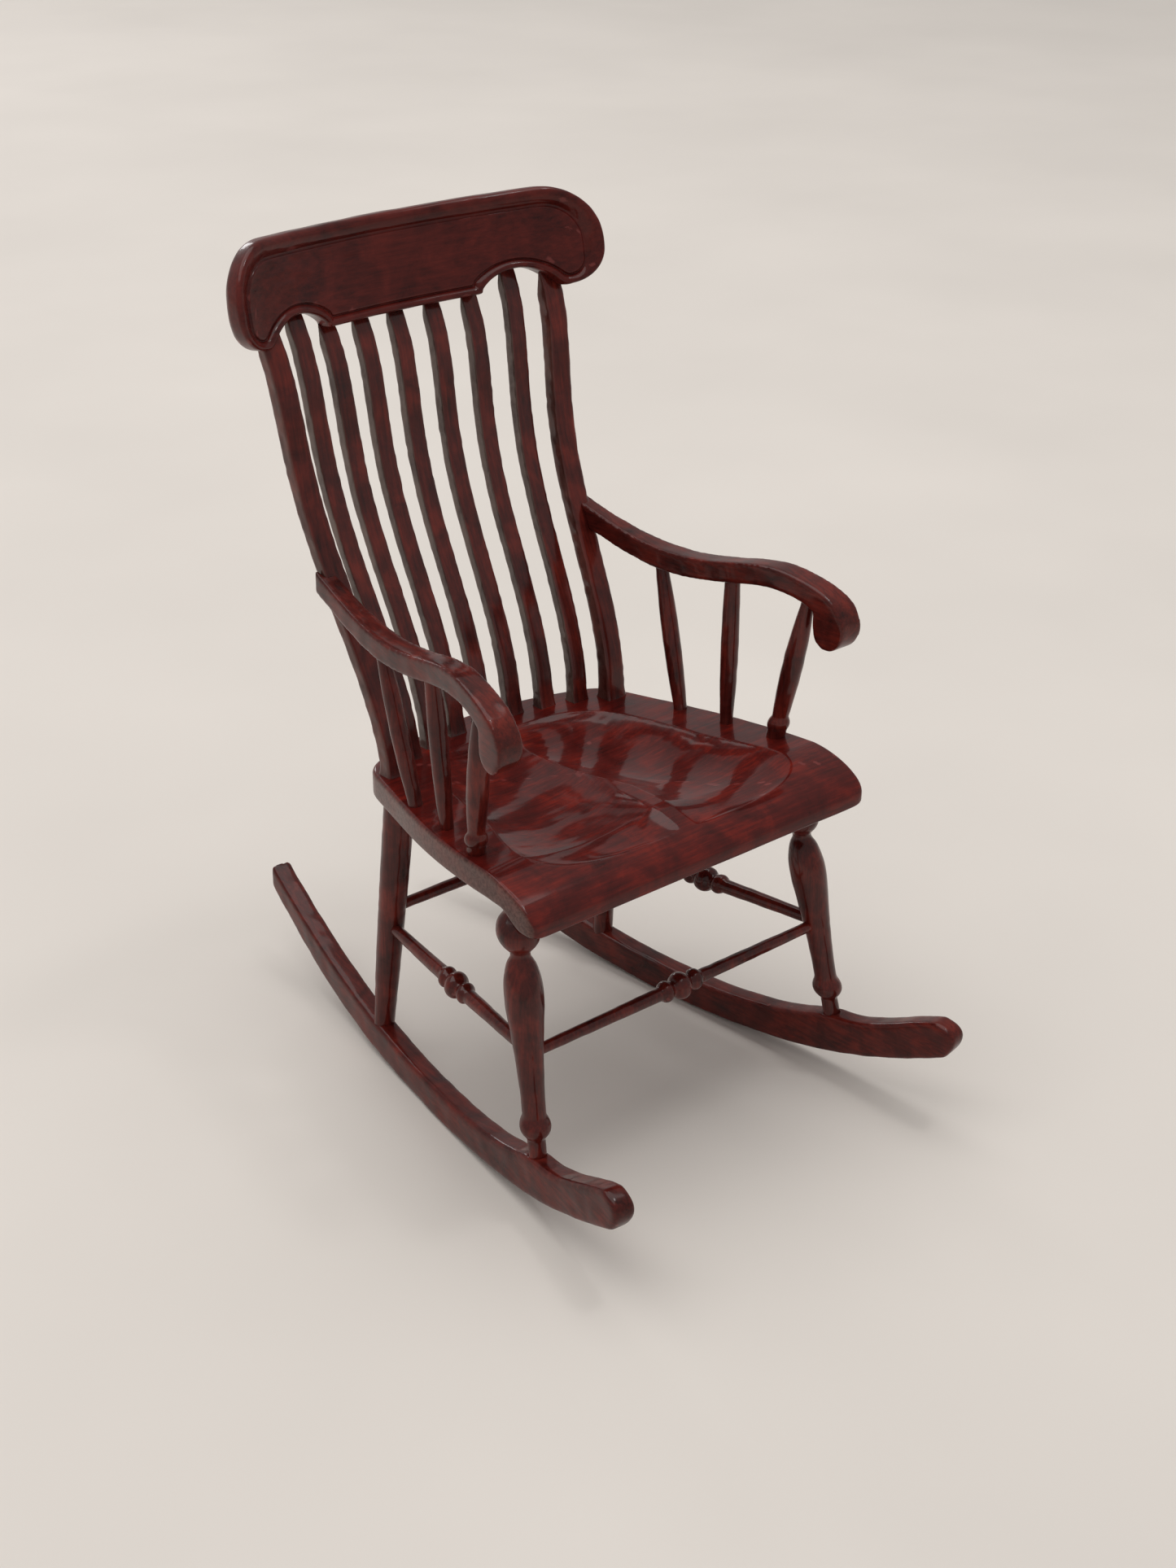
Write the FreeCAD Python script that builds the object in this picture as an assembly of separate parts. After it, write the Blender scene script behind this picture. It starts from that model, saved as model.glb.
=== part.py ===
"""Miniature rocking chair: a turned and carved wooden rocker with a slatted back.

Millimetres, +Z up, the sitter faces -Y and +X is on the right in front view.
The origin is on the floor, under the middle of the whole chair's bounding box.
Every piece is glued to its neighbours with round pegs in blind holes.
"""
import FreeCAD, Part
import math
import os

Vector = FreeCAD.Vector
UP = Vector(0, 0, 1)
ORIGIN = Vector(0, 0, 0)

# --- fits ---------------------------------------------------------------------------------
GLUE_GAP = 0.04            # round a peg and past its tip
PEG_ROOT = 1.2             # how far a peg reaches back into its own piece
HOST_REACH = 0.9           # how far a raw end runs into its neighbour before it is trimmed

# --- seat ---------------------------------------------------------------------------------
SEAT_FRONT_HALF = 22.0     # half width at the front edge
SEAT_MID_HALF = 20.5
SEAT_MID_Y = -6.0
SEAT_REAR_HALF = 16.9      # half width where the sides turn into the back
SEAT_REAR_Y = 6.4
SEAT_CORNER_HALF = 12.2    # where the rounded rear corner meets the back edge
SEAT_CORNER_Y = 12.2
SEAT_BACK_Y = 14.6
SEAT_FRONT_Y = -24.5
SEAT_THICK = 2.9
SEAT_Z = 35.0              # top surface at the back
SEAT_RISE = 2.1            # how much higher the top is just behind the front roll
SEAT_CREST_Y = -17.0       # highest line of the seat
ROLL_DROP = 3.4            # from the seat's highest line to its front nose
LIP_DEPTH = 4.2            # how far back the lip under the front edge reaches
LIP_DROP = 0.9             # how far the lip hangs below the nose
HOLLOW_DEPTH = 1.35
HOLLOW_X = 8.3
HOLLOW_Y = -8.0
HOLLOW_HALF_X = 9.2
HOLLOW_HALF_Y = 13.6

# --- rockers ------------------------------------------------------------------------------
ROCKER_X = 17.2            # centre plane at y = 0
ROCKER_TOE = 8.15          # degrees that each rocker turns in towards the back
ROCKER_THICK = 2.4
ROCKER_DEPTH = 3.7         # between the legs
ROCKER_NOSE_DEPTH = 4.6
ROCKER_SADDLE_DEPTH = 4.7  # under a front leg
ROCKER_TAIL_DEPTH = 2.9
ROCKER_MID_RADIUS = 105.0
ROCKER_END_RADIUS = 56.0
ROCKER_LOW_Y = -1.4        # where the rocker meets the floor
ROCKER_FRONT_BEND = -18.0
ROCKER_REAR_BEND = 12.0
ROCKER_NOSE_Y = -39.4
ROCKER_TAIL_Y = 35.6
ROCKER_EDGE = 0.45
ROCKER_STEPS = 12          # stretches between the points that shape the running edge

# --- legs ---------------------------------------------------------------------------------
FRONT_FOOT_Y = -23.3
FRONT_TOP_X = 18.4
FRONT_TOP_Y = -17.0
REAR_FOOT_Y = 9.9
REAR_TOP_X = 13.9
REAR_TOP_Y = 7.8
LEG_PEG_R = 0.75
LEG_PEG = 1.15
REAR_LEG_R = 1.65          # under the seat
REAR_LEG_MID_R = 1.5
REAR_LEG_FOOT_R = 1.1
BALL_R = 2.2
VASE_R = 1.8
SHANK_R = 1.33
STUB_R = 0.9
RING_R = 1.6
STUB_LONG = 2.9            # along a front leg, from its raw foot
RING_LONG = 2.0
NECK_LONG = 3.2            # from the vase's shoulder to the middle of the ball
TOP_LONG = 5.2             # from the middle of the ball to the raw top
NECK_R = 1.2

# --- stretchers ---------------------------------------------------------------------------
FRONT_STRETCHER_Z = 17.5
SIDE_STRETCHER_FRONT_Z = 17.8
SIDE_STRETCHER_REAR_Z = 16.5
REAR_STRETCHER_Z = 18.7
FRONT_ROD_R = 0.72
SIDE_ROD_R = 0.8
REAR_ROD_R = 0.68
ROD_PEG_R = 0.5
ROD_PEG = 0.7
BIG_BEAD_R = 1.45
BIG_BEAD_HALF = 1.0
SMALL_BEAD_R = 1.15
SMALL_BEAD_HALF = 0.65
BEAD_GAP = 0.3

# --- back ---------------------------------------------------------------------------------
SLAT_COUNT = 7
FOOT_ARC_R = 26.0          # plan arc on which posts and slats stand
FOOT_Y = 11.4
POST_FOOT_X = 14.6
CREST_ARC_R = 46.0         # plan arc of the crest's front face
CREST_Y = 24.2             # crest's front face, at its bottom edge in the middle
POST_TOP_X = 17.9
CREST_Z = 78.1
SLAT_WIDE = 1.95
SLAT_THICK = 1.35
POST_WIDE = 2.4
POST_THICK = 1.75
SLAT_EDGE = 0.3
SLAT_PEG_R = 0.45
SLAT_PEG = 1.15
CREST_PEG_FORWARD = 0.2    # top pegs stand this far in front of the crest's middle plane
# how far back the slats have leaned, as a share of the whole, at each share of the height
LEAN_SHARES = ((0.0, 0.0), (0.12, 0.1), (0.25, 0.25), (0.5, 0.65), (0.75, 0.87), (1.0, 1.0))

# --- crest rail ---------------------------------------------------------------------------
CREST_THICK = 2.7
CREST_LEAN = 11.0          # degrees
CREST_HEIGHT = 9.8
CREST_HALF = 22.9
CREST_LOBE_DROP = 0.4
CREST_ARCH_IN = 9.8        # the arches over the first and last slats
CREST_ARCH_OUT = 17.9
CREST_ARCH_RISE = 2.0
CREST_CUSP = 0.35          # small upright steps at the two ends of an arch
CREST_ARCH_SHIFT = 0.4     # an arch's top lies this far inboard of its middle
CREST_TOP_R = 6.0
CREST_LOBE_R = 3.6
PANEL_INSET = 1.8          # width of the border at the top and the ends
PANEL_LOW_SHARE = 0.5      # how narrow the border is along the bottom
PANEL_DEPTH = 0.3

# --- arms ---------------------------------------------------------------------------------
# plan of one arm from the post to the scroll: centre x, y, half width
ARM_PLAN = ((16.9, 16.0, 1.0), (17.7, 9.0, 1.1), (18.7, 0.5, 1.3), (19.7, -8.0, 1.3),
            (21.1, -15.8, 1.4), (21.9, -21.8, 1.45))
ARM_Z = 52.5               # lowest point of the centre line
ARM_THICK = 2.35
# height of the centre line above ARM_Z, from the post to the top of the scroll
ARM_RISE = ((16.4, 2.5), (12.0, 1.3), (7.0, 0.3), (1.5, 0.0), (-6.0, 1.1), (-12.5, 2.15), (-16.0, 1.7))
SCROLL_Y = -19.3
SCROLL_Z = 50.5
SCROLL_R = 1.9
ARM_PEG_R = 0.45
ARM_PEG = 1.0
ARM_PEG_IN = 0.35          # the peg stands this far inboard of the arm's centre line

# --- arm spindles: foot x, foot y, top x, top y, top radius -------------------------------
SPINDLES = {
    "rear": (17.8, -0.6, 18.35, 4.0, 0.57),
    "middle": (18.65, -6.8, 19.5, -6.1, 0.75),
    "front": (19.85, -12.9, 21.2, -15.9, 0.5),
}
SPINDLE_BELLY_R = 0.95
SPINDLE_FOOT_R = 0.62
FRONT_SPINDLE_BELLY_R = 1.05
FRONT_SPINDLE_NECK_R = 0.85
SPINDLE_COLLAR_R = 1.2
SPINDLE_STEP = 0.8         # length of each step of the front spindle's foot
SPINDLE_PEG_R = 0.42
SPINDLE_PEG = 0.95


# --- small tools --------------------------------------------------------------------------
def curve(points):
    """A smooth edge through the points."""
    line = Part.BSplineCurve()
    line.interpolate([Vector(*p) for p in points])
    return line.toShape()


def straight(a, b):
    return Part.makeLine(Vector(*a), Vector(*b))


def arc(a, middle, b):
    return Part.Arc(Vector(*a), Vector(*middle), Vector(*b)).toShape()


def slab(edges, thickness):
    """The closed outline's face, pushed out by the vector."""
    return Part.Face(Part.Wire(Part.__sortEdges__(edges))).extrude(thickness)


def largest(shape):
    """The main solid left when a trimmed end has fallen off."""
    return max(shape.Solids, key=lambda solid: solid.Volume)


def mirrored(shape):
    return shape.mirror(ORIGIN, Vector(1, 0, 0))


def flipped(points):
    """The same points on the left side."""
    return [(-x, y, z) for x, y, z in points]


def left_point(point):
    return Vector(-point.x, point.y, point.z)


def rod(start, end, radius):
    return Part.makeCylinder(radius, (end - start).Length, start, end - start)


class Peg:
    """A round peg whose tip lies in the host; it points along the direction."""

    def __init__(self, tip, direction, radius, depth):
        unit = Vector(direction).normalize()
        back = tip - unit * (depth + PEG_ROOT)
        self.solid = rod(back, tip, radius)
        self.hole = rod(back, tip + unit * GLUE_GAP, radius + GLUE_GAP)


def turned(stations, start, end):
    """A turning between two points: stations are (distance, radius) runs of line, curve or bead."""
    edges = []
    here = (0.0, 0.0)
    for kind, points in stations:
        path = [here] + list(points)
        if kind == "curve":
            edges.append(curve([(r, 0, s) for s, r in path]))
        elif kind == "bead":
            edges.append(arc(*[(r, 0, s) for s, r in path]))
        else:
            edges += [straight((a[1], 0, a[0]), (b[1], 0, b[0])) for a, b in zip(path, path[1:])]
        here = path[-1]
    edges.append(straight((here[1], 0, here[0]), (0, 0, here[0])))
    edges.append(straight((0, 0, here[0]), (0, 0, 0)))
    solid = Part.Face(Part.Wire(edges)).revolve(ORIGIN, UP, 360)
    axis = end - start
    turn = FreeCAD.Rotation(UP, axis)
    solid.Placement = FreeCAD.Placement(start, turn)
    return solid


# --- seat ---------------------------------------------------------------------------------
def seat_top(y):
    """Height of the seat's top surface, between its back edge and its highest line."""
    share = (SEAT_BACK_Y - y) / (SEAT_BACK_Y - SEAT_CREST_Y)
    return SEAT_Z + SEAT_RISE * share


def seat_side():
    """The seat's outline seen from the side: flat plank, rolled front and a lip under it."""
    far = -2 * SEAT_FRONT_HALF
    high = SEAT_Z + SEAT_RISE
    nose = high - ROLL_DROP
    lip = SEAT_FRONT_Y + LIP_DEPTH
    back_top = (far, SEAT_BACK_Y, SEAT_Z)
    back_low = (far, SEAT_BACK_Y, SEAT_Z - SEAT_THICK)
    crest = (far, SEAT_CREST_Y, high)
    chin = (far, SEAT_FRONT_Y, nose)
    throat = (far, SEAT_CREST_Y, high - SEAT_THICK)
    shoulder = (far, 0.5 * (SEAT_CREST_Y + SEAT_FRONT_Y), high - 0.1 * ROLL_DROP)
    brow = (far, SEAT_FRONT_Y + 0.3, high - 0.55 * ROLL_DROP)
    return [
        straight(back_top, crest),
        curve([crest, shoulder, brow, chin]),
        curve([chin, (far, 0.6 * SEAT_FRONT_Y + 0.4 * lip, nose - LIP_DROP),
               (far, lip, nose - 0.7 * LIP_DROP), throat]),
        straight(throat, back_low),
        straight(back_low, back_top),
    ]


def seat_plan(low):
    """The seat's outline seen from above, at a height."""
    half_turn = math.sqrt(0.5)
    right = [(SEAT_REAR_HALF, SEAT_REAR_Y, low), (SEAT_MID_HALF, SEAT_MID_Y, low),
             (SEAT_FRONT_HALF, SEAT_FRONT_Y - GLUE_GAP, low)]
    bend = (SEAT_CORNER_HALF + half_turn * (SEAT_REAR_HALF - SEAT_CORNER_HALF),
            SEAT_REAR_Y + half_turn * (SEAT_CORNER_Y - SEAT_REAR_Y), low)
    corner = [(SEAT_CORNER_HALF, SEAT_CORNER_Y, low), bend, right[0]]
    edges = [arc(corner[0], (0, SEAT_BACK_Y - GLUE_GAP, low), flipped(corner)[0]),
             straight(right[-1], flipped(right)[-1])]
    for half in (right, corner):
        edges += [curve(half), curve(flipped(half))]
    return edges


def seat_blank():
    """The plank before the hollows are carved: side outline crossed with plan outline."""
    board = slab(seat_side(), Vector(4 * SEAT_FRONT_HALF, 0, 0))
    return board.common(slab(seat_plan(0), Vector(0, 0, 2 * SEAT_Z)))


def hollow(side):
    """One thigh hollow: a flat bowl, longer than it is wide."""
    slope = math.degrees(math.atan2(SEAT_RISE, SEAT_BACK_Y - SEAT_CREST_Y))
    grow = FreeCAD.Matrix()
    grow.scale(HOLLOW_HALF_X, HOLLOW_HALF_Y, HOLLOW_DEPTH)
    bowl = Part.makeSphere(1).transformGeometry(grow)
    bowl.rotate(ORIGIN, Vector(1, 0, 0), -slope)
    bowl.translate(Vector(side * HOLLOW_X, HOLLOW_Y, seat_top(HOLLOW_Y)))
    return bowl


# --- rockers ------------------------------------------------------------------------------
def rocker_point(along, height):
    """A point on the right rocker's centre plane."""
    toe = math.radians(ROCKER_TOE)
    return Vector(ROCKER_X - along * math.sin(toe), along * math.cos(toe), height)


def rocker_along(y):
    return y / math.cos(math.radians(ROCKER_TOE))


def rocker_under(along):
    """Height of the running edge above the floor: a shallow middle arc and tighter ends."""
    bend = min(max(along, ROCKER_FRONT_BEND), ROCKER_REAR_BEND)
    run = bend - ROCKER_LOW_Y
    height = run * run / (2 * ROCKER_MID_RADIUS)
    past = along - bend
    return height + run / ROCKER_MID_RADIUS * past + past * past / (2 * ROCKER_END_RADIUS)


def rocker_body():
    """The right rocker: bull nose, saddle under the front leg, thin square tail."""
    foot = rocker_along(FRONT_FOOT_Y)
    nose = ROCKER_NOSE_Y
    tail = ROCKER_TAIL_Y
    shoulder = ROCKER_SADDLE_DEPTH - 0.3
    depths = ((nose + 0.48 * ROCKER_NOSE_DEPTH, ROCKER_NOSE_DEPTH - 0.1), (nose + 6, ROCKER_NOSE_DEPTH),
              (foot - BALL_R, shoulder), (foot, ROCKER_SADDLE_DEPTH), (foot + 1.5 * BALL_R, shoulder),
              (0.5 * foot, ROCKER_DEPTH), (0, ROCKER_DEPTH - 0.1), (rocker_along(REAR_FOOT_Y), ROCKER_DEPTH),
              (0.7 * tail, ROCKER_DEPTH), (tail, ROCKER_TAIL_DEPTH))
    top = [(0, a, rocker_under(a) + d) for a, d in depths]
    start = nose + 0.2 * ROCKER_NOSE_DEPTH
    marks = [start + step * (tail - start) / ROCKER_STEPS for step in range(ROCKER_STEPS + 1)]
    low = [(0, a, rocker_under(a)) for a in marks]
    tip = (0, nose, rocker_under(nose) + 0.5 * ROCKER_NOSE_DEPTH)
    outline = [
        curve(top),
        straight(top[-1], low[-1]),
        curve(low),
        curve([low[0], tip, top[0]]),
    ]
    body = slab(outline, Vector(ROCKER_THICK, 0, 0))
    body = body.makeFillet(ROCKER_EDGE, [e for e in body.Edges if flat_across(e)])
    body.translate(Vector(-ROCKER_THICK / 2, 0, 0))
    body.rotate(ORIGIN, UP, ROCKER_TOE)
    body.translate(Vector(ROCKER_X, 0, 0))
    return body


def flat_across(edge):
    """True for a curved edge that lies in one plane across X, as the long edges of a slab do."""
    return edge.BoundBox.XLength < GLUE_GAP and edge.Curve.TypeId == "Part::GeomBSplineCurve"


# --- legs ---------------------------------------------------------------------------------
def front_leg_axis():
    along = rocker_along(FRONT_FOOT_Y)
    foot = rocker_point(along, rocker_under(along) + ROCKER_SADDLE_DEPTH - HOST_REACH)
    top = Vector(FRONT_TOP_X, FRONT_TOP_Y, SEAT_Z + SEAT_RISE - SEAT_THICK + HOST_REACH)
    return foot, top


def rear_leg_axis():
    along = rocker_along(REAR_FOOT_Y)
    foot = rocker_point(along, rocker_under(along) + ROCKER_DEPTH - HOST_REACH)
    top = Vector(REAR_TOP_X, REAR_TOP_Y, seat_top(REAR_TOP_Y) - SEAT_THICK + HOST_REACH)
    return foot, top


def on_axis(axis, height):
    """The point of a leg's axis at a height above the floor."""
    foot, top = axis
    return foot + (top - foot) * ((height - foot.z) / (top.z - foot.z))


def front_leg_body():
    """From the foot up: stub, ring, swelling shank, neck and ball."""
    foot, top = front_leg_axis()
    long = (top - foot).Length
    ball = long - TOP_LONG
    shoulder = ball - NECK_LONG
    shank = STUB_LONG + RING_LONG
    swell = shoulder - shank
    stations = [
        ("line", [(0, STUB_R), (STUB_LONG, STUB_R)]),
        ("bead", [(STUB_LONG + 0.5 * RING_LONG, RING_R), (shank, NECK_R)]),
        ("curve", [(shank + 0.3 * swell, SHANK_R), (shank + 0.6 * swell, 0.55 * (SHANK_R + VASE_R)),
                   (shoulder - 0.5 * NECK_LONG, VASE_R), (shoulder, 1.1 * NECK_R)]),
        ("curve", [(shoulder + 0.2 * NECK_LONG, 0.8 * NECK_R), (ball - 0.8 * BALL_R, NECK_R)]),
        ("bead", [(ball, BALL_R), (ball + 0.8 * BALL_R, NECK_R)]),
        ("line", [(long, NECK_R)]),
    ]
    return turned(stations, foot, top)


def rear_leg_body():
    foot, top = rear_leg_axis()
    long = (top - foot).Length
    stations = [
        ("line", [(0, REAR_LEG_FOOT_R)]),
        ("curve", [(0.5 * long, REAR_LEG_MID_R), (long, REAR_LEG_R)]),
    ]
    return turned(stations, foot, top)


def leg_pegs(axis):
    foot, top = axis
    down = (foot - top).normalize()
    low = Peg(foot + down * (LEG_PEG - HOST_REACH), down, LEG_PEG_R, LEG_PEG)
    high = Peg(top - down * (LEG_PEG - HOST_REACH), down * -1, LEG_PEG_R, LEG_PEG)
    return low, high


# --- stretchers ---------------------------------------------------------------------------
def plain_rod(start, end, radius):
    """A rod that is a little thicker in the middle."""
    long = (end - start).Length
    return turned([("line", [(0, 0.85 * radius)]),
                   ("curve", [(0.5 * long, radius), (long, 0.85 * radius)])], start, end)


def beaded_rod(start, end, radius):
    """A rod with a large bead between two small ones, half way along."""
    long = (end - start).Length
    middle = 0.5 * long
    inner = middle - BIG_BEAD_HALF
    outer = inner - BEAD_GAP - 2 * SMALL_BEAD_HALF
    stations = [
        ("line", [(0, 0.8 * radius), (outer, radius)]),
        ("bead", [(outer + SMALL_BEAD_HALF, SMALL_BEAD_R), (inner - BEAD_GAP, radius)]),
        ("line", [(inner, radius)]),
        ("bead", [(middle, BIG_BEAD_R), (long - inner, radius)]),
        ("line", [(long - inner + BEAD_GAP, radius)]),
        ("bead", [(long - outer - SMALL_BEAD_HALF, SMALL_BEAD_R), (long - outer, radius)]),
        ("line", [(long, 0.8 * radius)]),
    ]
    return turned(stations, start, end)


def stretcher(maker, start, end, radius, hosts):
    """A stretcher between two legs' axes, shouldered on the legs, with a peg in each."""
    unit = (end - start).normalize()
    body = maker(start, end, radius)
    for host in hosts:
        body = body.cut(host)
    body = largest(body)
    pegs = []
    for axis_point, towards, host in ((start, unit * -1, hosts[0]), (end, unit, hosts[1])):
        skin = skin_distance(host, axis_point, towards * -1)
        tip = axis_point - towards * (skin - ROD_PEG)
        pegs.append(Peg(tip, towards, ROD_PEG_R, ROD_PEG))
    return body, pegs


def skin_distance(host, inside, direction):
    """Distance from a point inside the host to its surface, along the direction."""
    probe = Part.makeLine(inside, inside + direction * 4 * BALL_R).common(host)
    return probe.Length


# --- back ---------------------------------------------------------------------------------
def back_places():
    """Plan places of the foot and the top of each upright, from left post to right post."""
    gaps = SLAT_COUNT + 1
    foot_turn = math.asin(POST_FOOT_X / FOOT_ARC_R)
    top_turn = math.asin(POST_TOP_X / CREST_ARC_R)
    places = []
    for index in range(gaps + 1):
        share = 2 * index / gaps - 1
        foot = (FOOT_ARC_R * math.sin(share * foot_turn),
                FOOT_Y - FOOT_ARC_R * (1 - math.cos(share * foot_turn)))
        top = (CREST_ARC_R * math.sin(share * top_turn),
               CREST_Y + CREST_THICK / 2 - CREST_ARC_R * (1 - math.cos(share * top_turn)))
        places.append((foot, top))
    return places


def upright(foot, top, wide, thick):
    """A post or slat: an S-curved strip that leans back and spreads out as it rises."""
    low = seat_top(foot[1]) - HOST_REACH
    high = CREST_Z + CREST_ARCH_RISE + HOST_REACH
    run = top[1] - foot[1]
    front = []
    back = []
    for height, lean in LEAN_SHARES:
        z = low + height * (high - low)
        y = foot[1] + lean * run
        front.append((-wide / 2, y - thick / 2, z))
        back.append((-wide / 2, y + thick / 2, z))
    outline = [curve(front), curve(back), straight(front[0], back[0]), straight(front[-1], back[-1])]
    strip = slab(outline, Vector(wide, 0, 0))
    strip = strip.makeFillet(SLAT_EDGE, [e for e in strip.Edges if flat_across(e)])
    spread = math.degrees(math.atan2(top[0] - foot[0], high - low))
    pivot = Vector(0, foot[1], low)
    strip.rotate(pivot, Vector(0, 1, 0), spread)
    strip.translate(Vector(foot[0], 0, 0))
    return strip


def upright_pegs(foot, top):
    """Pegs along the strip's own ends: one down into the seat, one up into the crest."""
    low = seat_top(foot[1])
    high = CREST_Z + CREST_ARCH_RISE
    run = top[1] - foot[1]
    spread = (top[0] - foot[0]) / (high - low)
    steep = LEAN_SHARES[1][1] / LEAN_SHARES[1][0] * run / (high - low)
    down = Vector(-spread, -steep, -1).normalize()
    low_peg = Peg(Vector(foot[0], foot[1], low) + down * SLAT_PEG, down, SLAT_PEG_R, SLAT_PEG)
    in_crest = crest_bottom(abs(top[0])) + SLAT_PEG
    up = Vector(spread, math.tan(math.radians(CREST_LEAN)), 1).normalize()
    share = (CREST_Z + in_crest - low) / (high - low)
    tip_y = top[1] + in_crest * math.tan(math.radians(CREST_LEAN)) - CREST_PEG_FORWARD
    tip = Vector(foot[0] + (top[0] - foot[0]) * share, tip_y, CREST_Z + in_crest)
    return low_peg, Peg(tip, up, SLAT_PEG_R, SLAT_PEG)


# --- crest rail ---------------------------------------------------------------------------
def crest_bottom(x):
    """Height of the crest's lower edge above its straight middle."""
    if x < CREST_ARCH_IN:
        return 0.0
    if x > CREST_ARCH_OUT:
        return -CREST_LOBE_DROP
    share = (x - CREST_ARCH_IN) / (CREST_ARCH_OUT - CREST_ARCH_IN)
    return CREST_ARCH_RISE * math.sin(math.pi * share)


def crest_outline(inset):
    """The crest's front outline, drawn in by the inset."""
    half = CREST_HALF - inset
    top = CREST_HEIGHT - inset
    low = inset * PANEL_LOW_SHARE
    lobe = low - CREST_LOBE_DROP
    arch = 0.5 * (CREST_ARCH_IN + CREST_ARCH_OUT)
    arch_in = CREST_ARCH_IN - CREST_ARCH_SHIFT * inset
    arch_out = CREST_ARCH_OUT + CREST_ARCH_SHIFT * inset
    step = lobe + CREST_CUSP
    rise = CREST_ARCH_RISE + low
    round_top = CREST_TOP_R - inset
    round_lobe = CREST_LOBE_R - inset
    lobe_in = 0.5 * (arch_out + half - round_lobe)
    half_turn = math.sqrt(0.5)
    bend_top = (half - round_top * (1 - half_turn), top - round_top * (1 - half_turn))
    bend_lobe = (half - round_lobe * (1 - half_turn), lobe + round_lobe * (1 - half_turn))
    right = [
        [(arch_in, low), (arch_in, low + CREST_CUSP)],
        [(arch_in, low + CREST_CUSP), (arch - CREST_ARCH_SHIFT, rise), (arch_out, step)],
        [(arch_out, step), (lobe_in, lobe)],
        [(lobe_in, lobe), (half - round_lobe, lobe)],
        [(half - round_lobe, lobe), bend_lobe, (half, lobe + round_lobe)],
        [(half, lobe + round_lobe), (half, top - round_top)],
        [(half, top - round_top), bend_top, (half - round_top, top)],
    ]
    edges = [arc_or_line([(-arch_in, low), (arch_in, low)])]
    for points in right:
        edges += [arc_or_line(points), arc_or_line([(-x, z) for x, z in points])]
    edges.append(arc_or_line([(-half + round_top, top), (half - round_top, top)]))
    return edges


def arc_or_line(points):
    """An edge in the front plane through two or three (x, z) points."""
    places = [(x, 0, z) for x, z in points]
    return arc(*places) if len(places) == 3 else straight(*places)


def crest_shell(front, back):
    """A tall curved sheet about the crest's plan arc, between two depths from its front face."""
    tall = 3 * CREST_HEIGHT
    base = Vector(0, -CREST_ARC_R, -CREST_HEIGHT)
    return Part.makeCylinder(CREST_ARC_R + back, tall, base).cut(
        Part.makeCylinder(CREST_ARC_R + front, tall, base))


def crest_blank():
    """The rail with its rounded ends, arches and sunk panel, leaned back into place."""
    through = Vector(0, 4 * CREST_THICK, 0)
    board = slab(crest_outline(0), through)
    board.translate(Vector(0, -3 * CREST_THICK, 0))
    deep = board.common(wide_front(crest_shell(0, CREST_THICK)))
    panel = slab(crest_outline(PANEL_INSET), through)
    panel.translate(Vector(0, -3 * CREST_THICK, 0))
    sunk = panel.common(wide_front(crest_shell(-1, PANEL_DEPTH)))
    rail = largest(deep.cut(sunk))
    rail.rotate(ORIGIN, Vector(1, 0, 0), -CREST_LEAN)
    rail.translate(Vector(0, CREST_Y, CREST_Z))
    return rail


def wide_front(shell):
    """Only the back half of a round sheet: the part that the crest is cut from."""
    reach = 2 * CREST_ARC_R
    keep = Part.makeBox(2 * reach, reach, reach, Vector(-reach, -0.5 * CREST_ARC_R, -CREST_HEIGHT))
    return shell.common(keep)


# --- arms ---------------------------------------------------------------------------------
def scroll_point(turn, reach=1.0):
    """A point around the scroll: turn in degrees from its front, upwards, reach in radii."""
    turn = math.radians(turn)
    return (0, SCROLL_Y - reach * SCROLL_R * math.cos(turn), SCROLL_Z + reach * SCROLL_R * math.sin(turn))


def arm_body():
    """The right arm: its side outline with the scroll, crossed with its plan outline."""
    thick = ARM_THICK / 2
    top = [(0, y, ARM_Z + rise + thick) for y, rise in ARM_RISE]
    low = [(0, y, ARM_Z + rise - thick) for y, rise in ARM_RISE]
    scroll = [scroll_point(turn) for turn in (0, -90, -150, 180)]
    brow = scroll_point(60, 1.5)
    notch = (0, SCROLL_Y + SCROLL_R, low[-1][2] - 0.5 * thick)
    side = [
        curve(top + [brow] + scroll + [notch]),
        straight(notch, low[-1]),
        curve(low),
        straight(low[0], top[0]),
    ]
    board = slab(side, Vector(2 * SEAT_FRONT_HALF, 0, 0))
    outer = [(x + half, y, 0) for x, y, half in ARM_PLAN]
    inner = [(x - half, y, 0) for x, y, half in ARM_PLAN]
    plan = [curve(outer), curve(inner), straight(outer[0], inner[0]), straight(outer[-1], inner[-1])]
    return board.common(slab(plan, Vector(0, 0, 2 * ARM_Z)))


def between(table, y):
    """Linear value at y in a table of (y, value) rows that run from back to front."""
    for (y_a, a), (y_b, b) in zip(table, table[1:]):
        if y_b <= y <= y_a:
            return a + (b - a) * (y_a - y) / (y_a - y_b)
    raise ValueError("outside the arm")


def arm_peg(post):
    """A peg that runs back from the arm's end into the front of the post."""
    height = ARM_Z + ARM_RISE[1][1]
    reach = 2 * SEAT_FRONT_HALF
    slice_box = Part.makeBox(reach, reach, 2 * ARM_PEG_R, Vector(0, 0, height - ARM_PEG_R))
    face = post.common(slice_box).BoundBox.YMin
    x = between([(y, x) for x, y, half in ARM_PLAN], face) - ARM_PEG_IN
    return Peg(Vector(x, face + ARM_PEG, height), Vector(0, 1, 0), ARM_PEG_R, ARM_PEG)


# --- arm spindles -------------------------------------------------------------------------
def spindle_axis(name):
    foot_x, foot_y, top_x, top_y, top_radius = SPINDLES[name]
    foot = Vector(foot_x, foot_y, seat_top(foot_y) - HOST_REACH)
    top = Vector(top_x, top_y, ARM_Z + between(ARM_RISE, top_y) - ARM_THICK / 2 + HOST_REACH)
    return foot, top


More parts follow.
